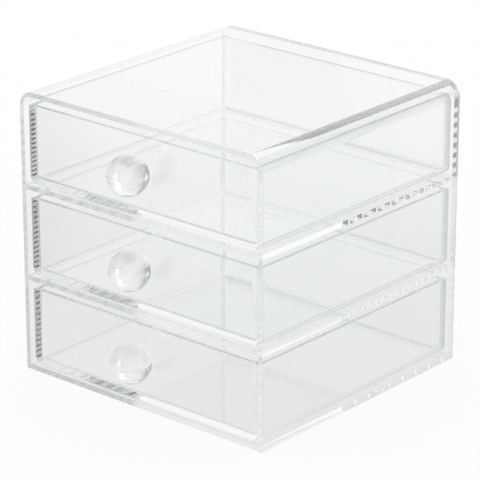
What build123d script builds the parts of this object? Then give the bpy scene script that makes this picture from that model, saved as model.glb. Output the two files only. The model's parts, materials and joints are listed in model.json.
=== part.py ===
from build123d import *
from math import sqrt
import os

# Clear acrylic drawer organizer: a heat-bent case with three bays, and in each bay a drawer with a ball knob.
# X runs across the front, Y from the front to the back, Z up. The origin is the middle of the case's underside.

# Case
case_width = 165.0
case_depth = 159.0
case_height = 156.5
case_sheet = 3.0
case_bend_radius = 9.0  # outside of the two bends between the top and the sides
case_inner_radius = 3.5  # inside of the same bends, where the sheet thins
bend_relief = 0.3  # room between the bend and the back panel's rounded corners

# Drawers, each as large as its bay and these clearances leave it
drawer_sheet = 2.5
drawer_bend_radius = 5.0  # outside of the two bends between the floor and the sides
drawer_setback = 2.0  # the drawer fronts stand this far behind the case's front edges
drawer_rear_gap = 0.5
drawer_side_gap = 1.6
drawer_head_gap = 4.9
drawer_running_gap = 0.3  # under the drawer's floor

# Knobs
knob_diameter = 22.0
knob_reach = 9.0  # from the drawer's front to the middle of the ball
knob_height = 24.7  # from the drawer's underside to the middle of the ball
peg_diameter = 6.0
peg_clearance = 0.1  # room for cement all round the peg

# Names of the pieces, from the lowest upward
drawer_names = ("bottom", "middle", "top")
shelf_names = ("lower_shelf", "upper_shelf")

# Sizes that follow
inner_width = case_width - 2 * case_sheet
front_y = -case_depth / 2
back_y = case_depth / 2
panel_back_y = back_y - case_sheet  # where the base and the shelves meet the back panel
bay_height = (case_height - case_sheet) / len(drawer_names) - case_sheet
bay_pitch = bay_height + case_sheet
drawer_width = inner_width - 2 * drawer_side_gap
drawer_height = bay_height - drawer_running_gap - drawer_head_gap
drawer_front_y = front_y + drawer_setback
drawer_back_y = panel_back_y - drawer_rear_gap


def rounded_outline(width, height, radius, at_top):
    """A plate's outline standing on Z = 0, with the two corners at its top or at its foot rounded."""
    outline = Rectangle(width, height, align=(Align.CENTER, Align.MIN))
    rows = outline.vertices().group_by(Axis.Y)
    return fillet(rows[-1] if at_top else rows[0], radius)


def run_along_y(outline, start_y, end_y):
    """The outline, drawn in X and Z, carried from one Y to another."""
    return Pos(0, end_y, 0) * extrude(Plane.XZ * outline, end_y - start_y)


def flat_panel(bottom_z):
    """A level sheet between the case's sides, from the front edge to the back panel."""
    depth = panel_back_y - front_y
    sheet = Box(inner_width, depth, case_sheet, align=(Align.CENTER, Align.MIN, Align.MIN))
    return Pos(0, front_y, bottom_z) * sheet


def case_wrap():
    outer = rounded_outline(case_width, case_height, case_bend_radius, at_top=True)
    inner = rounded_outline(inner_width, case_height - case_sheet, case_inner_radius, at_top=True)
    return run_along_y(outer - inner, front_y, back_y)


def back_panel():
    corner_radius = case_inner_radius + bend_relief
    outline = rounded_outline(inner_width, case_height - case_sheet, corner_radius, at_top=True)
    return run_along_y(outline, panel_back_y, back_y)


def drawer_outline():
    return rounded_outline(drawer_width, drawer_height, drawer_bend_radius, at_top=False)


def drawer_tray():
    inner = rounded_outline(
        drawer_width - 2 * drawer_sheet,
        drawer_height - drawer_sheet,
        drawer_bend_radius - drawer_sheet,
        at_top=False,
    )
    profile = drawer_outline() - Pos(0, drawer_sheet) * inner
    return run_along_y(profile, drawer_front_y + drawer_sheet, drawer_back_y - drawer_sheet)


def drawer_front():
    panel = run_along_y(drawer_outline(), drawer_front_y, drawer_front_y + drawer_sheet)
    hole = Circle(peg_diameter / 2 + peg_clearance)
    return panel - run_along_y(Pos(0, knob_height) * hole, drawer_front_y, drawer_front_y + drawer_sheet)


def drawer_back():
    return run_along_y(drawer_outline(), drawer_back_y - drawer_sheet, drawer_back_y)


def drawer_knob():
    """A ball cut flat where it seats on the drawer's front, with a peg through the panel."""
    seat_radius = sqrt((knob_diameter / 2) ** 2 - knob_reach**2)
    crown = (0, -knob_diameter / 2)
    rim = (seat_radius, knob_reach)
    side = (knob_diameter / 2, 0)
    peg_end_y = knob_reach + drawer_sheet
    edge = [
        ThreePointArc(crown, side, rim),
        Polyline(rim, (peg_diameter / 2, knob_reach), (peg_diameter / 2, peg_end_y), (0, peg_end_y), crown),
    ]
    knob = revolve(make_face(edge), Axis.Y)
    return Pos(0, drawer_front_y - knob_reach, knob_height) * knob


pieces = {"case_wrap": case_wrap(), "base_panel": flat_panel(0), "back_panel": back_panel()}

for level, name in enumerate(shelf_names, start=1):
    pieces[name] = flat_panel(level * bay_pitch)

for level, name in enumerate(drawer_names):
    place = Pos(0, 0, case_sheet + level * bay_pitch + drawer_running_gap)
    pieces[f"{name}_drawer_tray"] = place * drawer_tray()
    pieces[f"{name}_drawer_front"] = place * drawer_front()
    pieces[f"{name}_drawer_back"] = place * drawer_back()
    pieces[f"{name}_drawer_knob"] = place * drawer_knob()

os.makedirs("parts", exist_ok=True)
for name, piece in pieces.items():
    export_step(piece, f"parts/{name}.step")
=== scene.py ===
import json
import math

import bmesh
import bpy
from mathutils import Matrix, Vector


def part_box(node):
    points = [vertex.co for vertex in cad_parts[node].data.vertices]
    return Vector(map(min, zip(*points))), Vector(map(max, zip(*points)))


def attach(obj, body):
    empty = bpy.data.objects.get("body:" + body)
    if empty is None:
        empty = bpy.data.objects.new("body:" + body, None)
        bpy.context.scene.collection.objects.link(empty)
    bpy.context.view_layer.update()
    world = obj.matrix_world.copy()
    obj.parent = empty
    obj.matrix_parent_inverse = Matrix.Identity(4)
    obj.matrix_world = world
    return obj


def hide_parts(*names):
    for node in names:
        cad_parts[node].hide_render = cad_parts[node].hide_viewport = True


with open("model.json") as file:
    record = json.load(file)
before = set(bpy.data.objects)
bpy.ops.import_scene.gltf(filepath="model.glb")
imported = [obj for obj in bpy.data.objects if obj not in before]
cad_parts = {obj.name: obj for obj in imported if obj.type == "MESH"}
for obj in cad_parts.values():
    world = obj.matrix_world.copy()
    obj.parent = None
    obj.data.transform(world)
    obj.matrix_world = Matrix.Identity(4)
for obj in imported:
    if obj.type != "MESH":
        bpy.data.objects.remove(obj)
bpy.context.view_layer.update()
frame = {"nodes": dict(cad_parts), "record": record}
scene = bpy.context.scene
scene.view_settings.view_transform = "Standard"
print("frame loaded:", len(frame["nodes"]), "nodes")

# the order of the material slots on every piece
sheetFace, cutEdge, cementJoint = 0, 1, 2


# small helpers for node trees

def addNode(tree, kind, **settings):
    node = tree.nodes.new(kind)
    for key, value in settings.items():
        setattr(node, key, value)
    return node


def setInputs(node, **values):
    for name, value in values.items():
        node.inputs[name.replace("_", " ")].default_value = value
    return node


def newGroup(name, inputs, outputs):
    group = bpy.data.node_groups.new(name, "ShaderNodeTree")
    for label, kind in inputs:
        group.interface.new_socket(label, in_out="INPUT", socket_type=kind)
    for label, kind in outputs:
        group.interface.new_socket(label, in_out="OUTPUT", socket_type=kind)
    return group, group.nodes.new("NodeGroupInput"), group.nodes.new("NodeGroupOutput")


def placeGroup(tree, group, **values):
    node = addNode(tree, "ShaderNodeGroup", node_tree=group)
    return setInputs(node, **values)


def newMaterial(name):
    material = bpy.data.materials.new(name)
    material.use_nodes = True
    material.node_tree.nodes.clear()
    return material, material.node_tree


# node groups shared by the acrylic finishes

handling = {
    "scale": 45.0,
    "detail": 3.0,
    "roughness": 0.6,
    "cleanBelow": 0.45,  # noise under this is clean sheet
    "rubbedAbove": 0.75,  # noise over this is fully rubbed
}
casting = {"scale": 10.0, "detail": 2.0}
sawing = {
    "scale": 900.0,
    "wander": 4.0,
    "detail": 2.0,
    "roughness": 0.5,
    "bumpStrength": 0.0005,
    "bumpDistance": 0.0002,
}


def makeHandlingMarks():
    # fine rubbing marks and finger smears from use
    group, source, result = newGroup(
        "handlingMarks",
        [("Mark Scale", "NodeSocketFloat"), ("Least Roughness", "NodeSocketFloat"),
         ("Most Roughness", "NodeSocketFloat")],
        [("Roughness", "NodeSocketFloat")],
    )
    links = group.links
    coords = addNode(group, "ShaderNodeTexCoord")
    smear = addNode(group, "ShaderNodeTexNoise")
    setInputs(smear, Detail=handling["detail"], Roughness=handling["roughness"])
    links.new(coords.outputs["Object"], smear.inputs["Vector"])
    links.new(source.outputs["Mark Scale"], smear.inputs["Scale"])
    spread = addNode(group, "ShaderNodeMapRange")
    setInputs(spread, From_Min=handling["cleanBelow"], From_Max=handling["rubbedAbove"])
    links.new(smear.outputs["Fac"], spread.inputs["Value"])
    links.new(source.outputs["Least Roughness"], spread.inputs["To Min"])
    links.new(source.outputs["Most Roughness"], spread.inputs["To Max"])
    links.new(spread.outputs["Result"], result.inputs["Roughness"])
    return group


def makeCastTint():
    # slow drift of the faint tint in cast sheet
    group, source, result = newGroup(
        "castTint",
        [("Pale", "NodeSocketColor"), ("Deep", "NodeSocketColor"), ("Cloud Scale", "NodeSocketFloat")],
        [("Color", "NodeSocketColor")],
    )
    links = group.links
    coords = addNode(group, "ShaderNodeTexCoord")
    cloud = setInputs(addNode(group, "ShaderNodeTexNoise"), Detail=casting["detail"])
    links.new(coords.outputs["Object"], cloud.inputs["Vector"])
    links.new(source.outputs["Cloud Scale"], cloud.inputs["Scale"])
    blend = addNode(group, "ShaderNodeMix", data_type="RGBA")
    links.new(cloud.outputs["Fac"], blend.inputs["Factor"])
    links.new(source.outputs["Pale"], blend.inputs["A"])
    links.new(source.outputs["Deep"], blend.inputs["B"])
    links.new(blend.outputs["Result"], result.inputs["Color"])
    return group


def makeSawMarks():
    # fine uneven marks that the saw leaves on a cut edge
    group, source, result = newGroup(
        "sawMarks",
        [("Mark Scale", "NodeSocketFloat"), ("Wander", "NodeSocketFloat")],
        [("Height", "NodeSocketFloat")],
    )
    links = group.links
    coords = addNode(group, "ShaderNodeTexCoord")
    grain = addNode(group, "ShaderNodeTexNoise")
    setInputs(grain, Detail=sawing["detail"], Roughness=sawing["roughness"])
    links.new(coords.outputs["Object"], grain.inputs["Vector"])
    links.new(source.outputs["Mark Scale"], grain.inputs["Scale"])
    links.new(source.outputs["Wander"], grain.inputs["Distortion"])
    links.new(grain.outputs["Fac"], result.inputs["Height"])
    return group


handlingMarks = makeHandlingMarks()
castTint = makeCastTint()
sawMarks = makeSawMarks()


# finishes: the tint's palest and deepest colour, and the roughness where clean and where rubbed

acrylicIor = 1.49
caseSheetLook = {
    "pale": (0.99, 0.992, 0.993, 1),
    "deep": (0.98, 0.986, 0.988, 1),
    "clean": 0.0,
    "rubbed": 0.015,
}
drawerSheetLook = {
    "pale": (0.99, 0.992, 0.993, 1),
    "deep": (0.98, 0.985, 0.988, 1),
    "clean": 0.0,
    "rubbed": 0.015,
}
knobLook = {
    "pale": (1.0, 0.998, 0.99, 1),
    "deep": (0.99, 0.988, 0.98, 1),
    "clean": 0.0,
    "rubbed": 0.01,
}
caseEdgeLook = {
    "pale": (0.82, 0.835, 0.84, 1),
    "deep": (0.79, 0.805, 0.81, 1),
    "clean": 0.14,
    "rubbed": 0.20,
}
drawerEdgeLook = {
    "pale": (0.82, 0.84, 0.845, 1),
    "deep": (0.78, 0.80, 0.805, 1),
    "clean": 0.14,
    "rubbed": 0.20,
}


def makeAcrylic(name, look, sawn=False):
    material, tree = newMaterial(name)
    links = tree.links
    out = addNode(tree, "ShaderNodeOutputMaterial")
    shader = addNode(tree, "ShaderNodeBsdfPrincipled")
    setInputs(shader, IOR=acrylicIor, Transmission_Weight=1.0)
    tint = placeGroup(tree, castTint, Pale=look["pale"], Deep=look["deep"], Cloud_Scale=casting["scale"])
    marks = placeGroup(
        tree, handlingMarks, Mark_Scale=handling["scale"],
        Least_Roughness=look["clean"], Most_Roughness=look["rubbed"])
    links.new(tint.outputs["Color"], shader.inputs["Base Color"])
    links.new(marks.outputs["Roughness"], shader.inputs["Roughness"])
    if sawn:
        grain = placeGroup(tree, sawMarks, Mark_Scale=sawing["scale"], Wander=sawing["wander"])
        bump = addNode(tree, "ShaderNodeBump")
        setInputs(bump, Strength=sawing["bumpStrength"], Distance=sawing["bumpDistance"])
        links.new(grain.outputs["Height"], bump.inputs["Height"])
        links.new(bump.outputs["Normal"], shader.inputs["Normal"])
    links.new(shader.outputs["BSDF"], out.inputs["Surface"])
    return material


def makeCement():
    # solvent cement leaves no surface between two sheets, so light goes straight on
    material, tree = newMaterial("solventCement")
    out = addNode(tree, "ShaderNodeOutputMaterial")
    shader = setInputs(addNode(tree, "ShaderNodeBsdfPrincipled"), Alpha=0.0)
    tree.links.new(shader.outputs["BSDF"], out.inputs["Surface"])
    return material


caseFinish = makeAcrylic("caseSheet", caseSheetLook)
drawerFinish = makeAcrylic("drawerSheet", drawerSheetLook)
knobFinish = makeAcrylic("knobAcrylic", knobLook)
caseEdge = makeAcrylic("caseCutEdge", caseEdgeLook, sawn=True)
drawerEdge = makeAcrylic("drawerCutEdge", drawerEdgeLook, sawn=True)
cement = makeCement()
print("finishes made:", len(bpy.data.materials))


# mesh helpers: a piece is gathered face by face, and corners at the same place are one vertex

weldGrid = 1e6  # steps to a metre; corners on the same step are one
levelSlack = 1e-7  # metres by which two heights may differ and still be one


def cornerAt(bm, corners, point):
    key = tuple(round(value * weldGrid) for value in point)
    if key not in corners:
        corners[key] = bm.verts.new(point)
    return corners[key]


def addFace(bm, corners, points, finish):
    face = bm.faces.new([cornerAt(bm, corners, point) for point in points])
    face.material_index = finish
    face.smooth = True
    return face


def at(y, point):
    return (point[0], y, point[1])


def rowAt(y, points):
    return [at(y, point) for point in points]


polish = {"width": 0.0002, "steps": 2, "profile": 0.5, "sharpest": math.radians(30)}


def polishEdges(bm):
    # the free corners of the sheet are broken by flame polishing, cemented ones aren't
    free = [
        edge for edge in bm.edges
        if len(edge.link_faces) == 2
        and all(face.material_index != cementJoint for face in edge.link_faces)
        and edge.calc_face_angle(0) > polish["sharpest"]
    ]
    bmesh.ops.bevel(
        bm, geom=free, offset=polish["width"], segments=polish["steps"], profile=polish["profile"],
        affect="EDGES", clamp_overlap=True,
    )


def finishPiece(bm, node, finishes, polished=True):
    name = "clear_" + node
    bmesh.ops.recalc_face_normals(bm, faces=bm.faces)
    if polished:
        polishEdges(bm)
    mesh = bpy.data.meshes.new(name)
    bm.to_mesh(mesh)
    bm.free()
    mesh.set_sharp_from_angle(angle=polish["sharpest"])
    for finish in finishes:
        mesh.materials.append(finish)
    piece = bpy.data.objects.new(name, mesh)
    scene.collection.objects.link(piece)
    piece.modifiers.new("flat faces stay flat", "WEIGHTED_NORMAL").keep_sharp = True
    body = next(key for key, nodes in frame["record"]["behaviour"]["bodies"].items() if node in nodes)
    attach(piece, body)
    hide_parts(node)


# bent sheets

def bentSection(width, height, radius, innerRadius, sheet, steps, levels=()):
    # outer and inner points of an upright U, from the left rim round to the right one
    left = [((-width / 2, z), (sheet - width / 2, z)) for z in (height, *sorted(levels, reverse=True))]
    for step in range(steps + 1):
        angle = math.pi * (1 + step / steps / 2)
        across, up = 1 + math.cos(angle), 1 + math.sin(angle)
        outer = (radius * across - width / 2, radius * up)
        inner = (sheet + innerRadius * across - width / 2, sheet + innerRadius * up)
        left.append((outer, inner))
    right = [((-outer[0], outer[1]), (-inner[0], inner[1])) for outer, inner in reversed(left)]
    return left + [((0.0, 0.0), (0.0, sheet))] + right


def addBentSheet(bm, corners, section, ySteps, innerFinish, endFinish, footFinish):
    front, back = ySteps[0], ySteps[-1]
    for (outerA, innerA), (outerB, innerB) in zip(section, section[1:]):
        middleZ = (innerA[1] + innerB[1]) / 2
        for yA, yB in zip(ySteps, ySteps[1:]):
            outerFace = [at(yA, outerA), at(yA, outerB), at(yB, outerB), at(yB, outerA)]
            innerFace = [at(yA, innerA), at(yB, innerA), at(yB, innerB), at(yA, innerB)]
            addFace(bm, corners, outerFace, sheetFace)
            addFace(bm, corners, innerFace, innerFinish((yA + yB) / 2, middleZ))
        for y in (front, back):
            addFace(bm, corners, rowAt(y, (outerA, innerA, innerB, outerB)), endFinish)
    for outer, inner in (section[0], section[-1]):
        for yA, yB in zip(ySteps, ySteps[1:]):
            addFace(bm, corners, [at(yA, outer), at(yA, inner), at(yB, inner), at(yB, outer)], footFinish)


# case

caseBends = {"radius": 0.009, "innerRadius": 0.0035, "steps": 24}
levelPanels = ("base_panel", "lower_shelf", "upper_shelf")

caseLow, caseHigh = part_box("case_wrap")
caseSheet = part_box("base_panel")[1].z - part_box("base_panel")[0].z
caseWidth, caseHeight = caseHigh.x - caseLow.x, caseHigh.z - caseLow.z
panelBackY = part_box("base_panel")[1].y
levelBands = [(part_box(node)[0].z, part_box(node)[1].z) for node in levelPanels]


def inBand(z):
    return any(low < z < high for low, high in levelBands)


def makeCaseWrap():
    # drawn as an upright U, so heights run down from the top until it is turned over
    levels = [caseHeight - z for band in levelBands for z in band if 0 < z]
    section = bentSection(
        caseWidth, caseHeight, caseBends["radius"], caseBends["innerRadius"], caseSheet,
        caseBends["steps"], levels)
    section = [tuple((x, caseHeight - z) for x, z in pair) for pair in section]

    def innerFinish(y, z):
        return cementJoint if y > panelBackY or inBand(z) else sheetFace

    bm, corners = bmesh.new(), {}
    ySteps = (caseLow.y, panelBackY, caseHigh.y)
    addBentSheet(bm, corners, section, ySteps, innerFinish, cutEdge, cutEdge)
    finishPiece(bm, "case_wrap", (caseFinish, caseEdge, cement))
    return [inner for outer, inner in section]  # the back panel fills this outline


def makeBackPanel(outline):
    # its front face is parted where the base and the shelves meet it
    bm, corners = bmesh.new(), {}
    front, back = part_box("back_panel")[0].y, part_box("back_panel")[1].y
    zLevels = sorted({z for band in levelBands for z in band})
    side = caseWidth / 2 - caseSheet
    for low, high in zip(zLevels, zLevels[1:]):
        band = ((-side, low), (side, low), (side, high), (-side, high))
        finish = cementJoint if inBand((low + high) / 2) else sheetFace
        addFace(bm, corners, rowAt(front, band), finish)
    top = [point for point in outline if point[1] > zLevels[-1] - levelSlack]
    addFace(bm, corners, rowAt(front, top), sheetFace)
    addFace(bm, corners, rowAt(back, outline), sheetFace)
    edges = [(a, b, cementJoint) for a, b in zip(outline, outline[1:])]
    edges.append((outline[0], outline[-1], cutEdge))  # the lower edge stays free
    for a, b, finish in edges:
        addFace(bm, corners, [at(front, a), at(back, a), at(back, b), at(front, b)], finish)
    finishPiece(bm, "back_panel", (caseFinish, caseEdge, cement))


def makeLevelPanel(node):
    # a flat sheet cemented at both sides and at the back
    (x0, y0, z0), (x1, y1, z1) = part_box(node)
    bm, corners = bmesh.new(), {}
    for z in (z0, z1):
        addFace(bm, corners, [(x0, y0, z), (x1, y0, z), (x1, y1, z), (x0, y1, z)], sheetFace)
    for y, finish in ((y0, cutEdge), (y1, cementJoint)):
        addFace(bm, corners, [(x0, y, z0), (x1, y, z0), (x1, y, z1), (x0, y, z1)], finish)
    for x in (x0, x1):
        addFace(bm, corners, [(x, y0, z0), (x, y1, z0), (x, y1, z1), (x, y0, z1)], cementJoint)
    finishPiece(bm, node, (caseFinish, caseEdge, cement))


caseOutline = makeCaseWrap()
makeBackPanel(caseOutline)
for panel in levelPanels:
    makeLevelPanel(panel)
print("case made")


# drawers

drawerBends = {"radius": 0.005, "steps": 16}
ballKnob = {"around": 96, "rings": 48}
innerFillet = {"radius": 0.0024, "steps": 10}  # between the tray and its front and back


def liftSection(section, z):
    return [tuple((x, height + z) for x, height in pair) for pair in section]


def circlePoints(centreZ, radius, count):
    # from the top, round by the left, in the panel's plane
    turns = [2 * math.pi * step / count for step in range(count)]
    return [(-radius * math.sin(turn), centreZ + radius * math.cos(turn)) for turn in turns]


def makeTray(node, section):
    low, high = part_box(node)
    reach = innerFillet["radius"]

    def innerFinish(y, z):
        return sheetFace if low.y + reach < y < high.y - reach else cementJoint

    bm, corners = bmesh.new(), {}
    ySteps = (low.y, low.y + reach, high.y - reach, high.y)
    addBentSheet(bm, corners, section, ySteps, innerFinish, cementJoint, cutEdge)
    finishPiece(bm, node, (drawerFinish, drawerEdge, cement))


def makePanel(node, section, fillet, outY, inY, seat=None):
    # outY is the face that shows, inY the face that the tray is cemented to
    bm, corners = bmesh.new(), {}
    outer = [pair[0] for pair in section]
    inner = [pair[1] for pair in section]
    inset = fillet[-1][1]
    rimMiddle = (0.0, outer[0][1])
    inward = 1 if inY > outY else -1
    rows = [rowAt(inY + inward * depth, points) for depth, points in fillet]
    foot = rowAt(inY, inner)
    rim = [outer[-1], inner[-1], inset[-1], rimMiddle, inset[0], inner[0], outer[0]]
    for (outerA, innerA), (outerB, innerB) in zip(section, section[1:]):
        addFace(bm, corners, rowAt(inY, (outerA, outerB, innerB, innerA)), cementJoint)
        side = [at(outY, outerA), at(outY, outerB), at(inY, outerB), at(inY, outerA)]
        addFace(bm, corners, side, cutEdge)
    strips = [(foot, rows[0], cementJoint)] + [(a, b, sheetFace) for a, b in zip(rows, rows[1:])]
    for near, far, finish in strips:
        for points in zip(near, near[1:], far[1:], far):
            addFace(bm, corners, points, finish)
    for end in (0, -1):
        addFace(bm, corners, [foot[end]] + [row[end] for row in rows], cutEdge)
    addFace(bm, corners, rowAt(inY, inset + [rimMiddle]), sheetFace)
    for a, b in zip(rim, rim[1:]):
        addFace(bm, corners, [at(outY, a), at(outY, b), at(inY, b), at(inY, a)], cutEdge)
    if seat is None:
        addFace(bm, corners, rowAt(outY, outer + rim[1:-1]), sheetFace)
    else:
        # the face is parted down its middle, round the knob's seat
        half, middle = len(seat) // 2, len(section) // 2
        leftSeat, rightSeat = seat[:half + 1], [seat[0]] + seat[:half - 1:-1]
        leftSide = outer[:middle + 1] + leftSeat[::-1] + [rimMiddle, inset[0], inner[0]]
        rightSide = outer[:middle - 1:-1] + rightSeat[::-1] + [rimMiddle, inset[-1], inner[-1]]
        addFace(bm, corners, rowAt(outY, leftSide), sheetFace)
        addFace(bm, corners, rowAt(outY, rightSide), sheetFace)
        addFace(bm, corners, rowAt(outY, seat), cementJoint)
    finishPiece(bm, node, (drawerFinish, drawerEdge, cement))


def makeKnob(node, centre, radius, seatY):
    # a turned ball, cut flat where it is cemented to the drawer's front
    bm, corners = bmesh.new(), {}
    around, rings = ballKnob["around"], ballKnob["rings"]
    seatTurn = math.acos(-(seatY - centre.y) / radius)
    crown = (centre.x, centre.y - radius, centre.z)
    hoops = []
    for ring in range(1, rings + 1):
        turn = seatTurn * ring / rings
        hoop = circlePoints(centre.z, radius * math.sin(turn), around)
        hoops.append(rowAt(centre.y - radius * math.cos(turn), hoop))
    hoops[-1] = [(x, seatY, z) for x, y, z in hoops[-1]]  # exactly on the drawer's front
    for step in range(around):
        after = (step + 1) % around
        addFace(bm, corners, [crown, hoops[0][step], hoops[0][after]], sheetFace)
        for near, far in zip(hoops, hoops[1:]):
            addFace(bm, corners, [near[step], far[step], far[after], near[after]], sheetFace)
    addFace(bm, corners, hoops[-1], cementJoint)
    finishPiece(bm, node, (knobFinish, knobFinish, cement), polished=False)  # a ball has no cut edge


def makeDrawer(name):
    trayLow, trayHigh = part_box(name + "_tray")
    frontLow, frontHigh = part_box(name + "_front")
    backLow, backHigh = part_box(name + "_back")
    knobLow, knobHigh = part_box(name + "_knob")
    sheet = frontHigh.y - frontLow.y

    def traySection(thickness):
        width, height = trayHigh.x - trayLow.x, trayHigh.z - trayLow.z
        radius = drawerBends["radius"]
        section = bentSection(width, height, radius, radius - thickness, thickness, drawerBends["steps"])
        return liftSection(section, trayLow.z)

    # rows of the rounding: how far each stands out from the panel, and its outline
    fillet = []
    for step in range(innerFillet["steps"] + 1):
        turn = math.pi / 2 * step / innerFillet["steps"]
        out = innerFillet["radius"] * (1 - math.cos(turn))
        depth = innerFillet["radius"] * (1 - math.sin(turn))
        fillet.append((depth, [inner for outer, inner in traySection(sheet + out)]))
    section = traySection(sheet)
    radius = round((knobHigh.z - knobLow.z) / 2, 4)  # to a tenth of a millimetre
    centre = Vector((0, knobLow.y + radius, (knobLow.z + knobHigh.z) / 2))
    seatRadius = math.sqrt(radius ** 2 - (frontLow.y - centre.y) ** 2)
    seat = circlePoints(centre.z, seatRadius, ballKnob["around"])
    makeTray(name + "_tray", section)
    makePanel(name + "_front", section, fillet, frontLow.y, frontHigh.y, seat)
    makePanel(name + "_back", section, fillet, backHigh.y, backLow.y)
    makeKnob(name + "_knob", centre, radius, frontLow.y)


for drawer in ("bottom_drawer", "middle_drawer", "top_drawer"):
    makeDrawer(drawer)
print("drawers made")


# studio: the camera sees a white floor and backdrop, the clear sheets see a pale floor with a painted
# shadow round the case and painted dark ends and a grey room with white fields and dark flags

studio = {
    "floorSize": 8.0,
    "floorDrop": 0.0001,  # keeps the floor clear of the case's underside
    "floorColor": (0.95, 0.95, 0.95, 1),
    "floorGlow": 0.9,  # how much of the floor is glow where the camera doesn't see it directly
    "floorWhite": 0.92,  # and where it does
    "paintedShadowTone": 0.86,  # painted shadow of the case: the glow turned down round it
    "farTone": 0.97,
    "nearReach": 0.20,  # metres from the case's middle, over which the painted shadow fades out
    "farReach": 0.45,
    "roomColor": (0.77, 0.785, 0.80, 1),
    "backdropColor": (1, 1, 1, 1),
}
paintedDarkEnds = [  # painted shade on the floor's far ends, standing for little light there: in front on the left, behind on the right
    {"toward": (-0.866, -0.50, 0), "inner": 12, "outer": 22, "start": 0.15, "full": 0.28, "tone": 0.22},
    {"toward": (0.60, 0.80, 0), "inner": 20, "outer": 36, "start": 0.50, "full": 0.80, "tone": 0.35},
]
roomLobes = [  # fields of the room by their direction from the case, each over the ones before it
    {"toward": (-0.61, 0.71, 0.36), "inner": 20, "outer": 42, "color": (1.0, 1.0, 1.0, 1)},  # sweep
    {"toward": (0.61, 0.71, 0.30), "inner": 14, "outer": 28, "color": (0.60, 0.62, 0.64, 1)},  # grey wall
    {"toward": (0.61, -0.71, 0.30), "inner": 20, "outer": 45, "color": (1.0, 1.0, 1.0, 1)},  # white wall
    {"toward": (-0.89, -0.45, 0.02), "inner": 16, "outer": 32, "color": (0.20, 0.20, 0.21, 1)},  # dark end
    {"toward": (-0.86, -0.05, 0.50), "inner": 12, "outer": 24, "color": (0.35, 0.35, 0.36, 1)},
    {"toward": (-0.40, 0.46, 0.79), "inner": 10, "outer": 20, "color": (0.40, 0.41, 0.42, 1)},
    {"toward": (0.542, 0.537, 0.646), "inner": 8.8, "outer": 9.8, "color": (0.15, 0.15, 0.16, 1)},  # flag
    {"toward": (0.296, 0.50, 0.814), "inner": 13.7, "outer": 14.7, "color": (0.0, 0.0, 0.0, 1)},  # flag
]


def addFade(tree, value, start, end, **tones):
    # a smooth step, from none to one unless other tones are given
    fade = addNode(tree, "ShaderNodeMapRange", interpolation_type="SMOOTHSTEP")
    setInputs(fade, From_Min=start, From_Max=end, **tones)
    tree.links.new(value, fade.inputs["Value"])
    return fade.outputs["Result"]


def addFacing(tree, direction, lobe):
    # one within the lobe's inner angle and none past its outer one, both in degrees
    facing = addNode(tree, "ShaderNodeVectorMath", operation="DOT_PRODUCT")
    facing.inputs[1].default_value = Vector(lobe["toward"]).normalized()
    tree.links.new(direction, facing.inputs[0])
    outer, inner = (math.cos(math.radians(lobe[edge])) for edge in ("outer", "inner"))
    return addFade(tree, facing.outputs["Value"], outer, inner)


def addPaintedFloorShade(tree):
    # painted shade: the glow by distance from the case, turned down round it as a painted shadow and at
    # the painted dark ends
    links = tree.links
    geometry = addNode(tree, "ShaderNodeNewGeometry")
    distance = addNode(tree, "ShaderNodeVectorMath", operation="LENGTH")
    heading = addNode(tree, "ShaderNodeVectorMath", operation="NORMALIZE")
    for measure in (distance, heading):
        links.new(geometry.outputs["Position"], measure.inputs[0])
    tone = addFade(
        tree, distance.outputs["Value"], studio["nearReach"], studio["farReach"],
        To_Min=studio["paintedShadowTone"], To_Max=studio["farTone"])
    # painted shade: each dark end turns the floor's glow down
    for end in paintedDarkEnds:
        dark = addNode(tree, "ShaderNodeMath", operation="MULTIPLY")
        links.new(addFacing(tree, heading.outputs["Vector"], end), dark.inputs[0])
        links.new(addFade(tree, distance.outputs["Value"], end["start"], end["full"]), dark.inputs[1])
        blend = addNode(tree, "ShaderNodeMix", data_type="FLOAT")
        blend.inputs["B"].default_value = end["tone"]
        links.new(dark.outputs["Value"], blend.inputs["Factor"])
        links.new(tone, blend.inputs["A"])
        tone = blend.outputs["Result"]
    return tone


def makeFloorFinish():
    material, tree = newMaterial("paleFloorPaintedShade")
    links = tree.links
    out = addNode(tree, "ShaderNodeOutputMaterial")
    path = addNode(tree, "ShaderNodeLightPath")
    share = addNode(tree, "ShaderNodeMapRange")
    setInputs(share, To_Min=studio["floorGlow"], To_Max=studio["floorWhite"])
    links.new(path.outputs["Is Camera Ray"], share.inputs["Value"])
    diffuse = setInputs(addNode(tree, "ShaderNodeBsdfDiffuse"), Color=studio["floorColor"])
    strength = addNode(tree, "ShaderNodeMath", operation="MAXIMUM")
    # painted shade: what the clear sheets see of the floor carries the painted shadow and the painted dark
    # ends
    links.new(addPaintedFloorShade(tree), strength.inputs[0])
    links.new(path.outputs["Is Camera Ray"], strength.inputs[1])
    glow = addNode(tree, "ShaderNodeEmission")
    links.new(strength.outputs["Value"], glow.inputs["Strength"])
    both = addNode(tree, "ShaderNodeMixShader")
    links.new(share.outputs["Result"], both.inputs["Fac"])
    links.new(diffuse.outputs["BSDF"], both.inputs[1])
    links.new(glow.outputs["Emission"], both.inputs[2])
    links.new(both.outputs["Shader"], out.inputs["Surface"])
    return material


def makeFloor():
    bm = bmesh.new()
    half = studio["floorSize"] / 2
    ring = [bm.verts.new((x * half, y * half, 0)) for x, y in ((-1, -1), (1, -1), (1, 1), (-1, 1))]
    bm.faces.new(ring)
    mesh = bpy.data.meshes.new("studioFloor")
    bm.to_mesh(mesh)
    bm.free()
    floor = bpy.data.objects.new("studioFloor", mesh)
    floor.location.z = -studio["floorDrop"]
    scene.collection.objects.link(floor)
    mesh.materials.append(makeFloorFinish())


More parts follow.
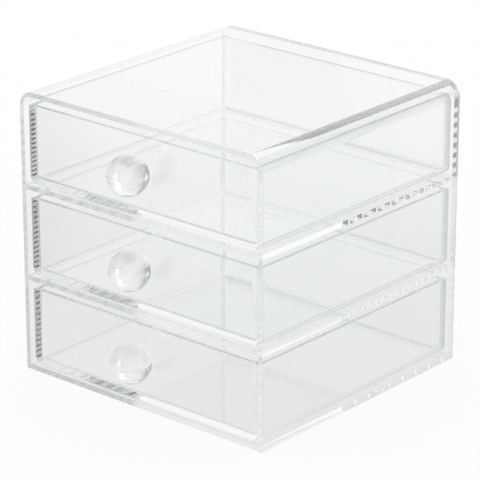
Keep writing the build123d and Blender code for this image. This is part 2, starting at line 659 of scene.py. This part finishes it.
def makeWorld():
    # mirrored and refracted light comes from the room, all other light from a white backdrop
    world = bpy.data.worlds.new("studioWorld")
    scene.world = world
    world.use_nodes = True
    tree = world.node_tree
    tree.nodes.clear()
    links = tree.links
    out = addNode(tree, "ShaderNodeOutputWorld")
    background = addNode(tree, "ShaderNodeBackground")
    coords = addNode(tree, "ShaderNodeTexCoord")
    tone = None
    for lobe in roomLobes:
        blend = addNode(tree, "ShaderNodeMix", data_type="RGBA")
        links.new(addFacing(tree, coords.outputs["Generated"], lobe), blend.inputs["Factor"])
        blend.inputs["A"].default_value = studio["roomColor"]
        blend.inputs["B"].default_value = lobe["color"]
        if tone:
            links.new(tone, blend.inputs["A"])
        tone = blend.outputs["Result"]
    path = addNode(tree, "ShaderNodeLightPath")
    seen = addNode(tree, "ShaderNodeMath", operation="MAXIMUM")
    links.new(path.outputs["Is Glossy Ray"], seen.inputs[0])
    links.new(path.outputs["Is Transmission Ray"], seen.inputs[1])
    mix = addNode(tree, "ShaderNodeMix", data_type="RGBA")
    mix.inputs["A"].default_value = studio["backdropColor"]
    links.new(seen.outputs["Value"], mix.inputs["Factor"])
    links.new(tone, mix.inputs["B"])
    links.new(mix.outputs["Result"], background.inputs["Color"])
    links.new(background.outputs["Background"], out.inputs["Surface"])


frontSoftbox = {
    "place": (-0.42, -1.04, 0.21),
    "target": (0, -0.08, 0.10),
    "size": (0.22, 0.40),
    "watts": 5.0,
}


def makeSoftbox(name, softbox):
    # it shows only as a mirrored highlight
    light = bpy.data.lights.new(name, "AREA")
    light.shape = "RECTANGLE"
    light.size, light.size_y = softbox["size"]
    light.energy = softbox["watts"]
    lamp = bpy.data.objects.new(name, light)
    lamp.location = softbox["place"]
    aim = Vector(softbox["target"]) - Vector(softbox["place"])
    lamp.rotation_euler = aim.to_track_quat("-Z", "Y").to_euler()
    lamp.visible_diffuse = False
    lamp.visible_transmission = False
    scene.collection.objects.link(lamp)


makeFloor()
makeWorld()
makeSoftbox("frontSoftbox", frontSoftbox)


# camera on the photograph's viewing angle

view = {
    "azimuth": math.radians(40.73),
    "elevation": math.radians(20.90),
    "distance": 1.494,
    "right": 0.0004,  # the case's middle in the picture, in metres from the picture's middle
    "up": 0.0071,
    "focalPixels": 2828.0,
    "imagePixels": 480,
    "sensorWidth": 36.0,
}


def makeCamera():
    data = bpy.data.cameras.new("photoCamera")
    data.sensor_width = view["sensorWidth"]
    data.lens = view["focalPixels"] * view["sensorWidth"] / view["imagePixels"]
    camera = bpy.data.objects.new("photoCamera", data)
    scene.collection.objects.link(camera)
    a, e = view["azimuth"], view["elevation"]
    back = Vector((math.sin(a) * math.cos(e), -math.cos(a) * math.cos(e), math.sin(e)))
    right = Vector((math.cos(a), math.sin(a), 0))
    up = back.cross(right)
    centre = (caseLow + caseHigh) / 2
    camera.location = centre + back * view["distance"] - right * view["right"] - up * view["up"]
    camera.rotation_euler = (-back).to_track_quat("-Z", "Y").to_euler()
    scene.camera = camera


makeCamera()
sheetBounces = 260  # light runs far along inside the clear sheets
for limit in ("max_bounces", "transmission_bounces", "glossy_bounces", "transparent_max_bounces"):
    setattr(scene.cycles, limit, sheetBounces)
print("studio made")
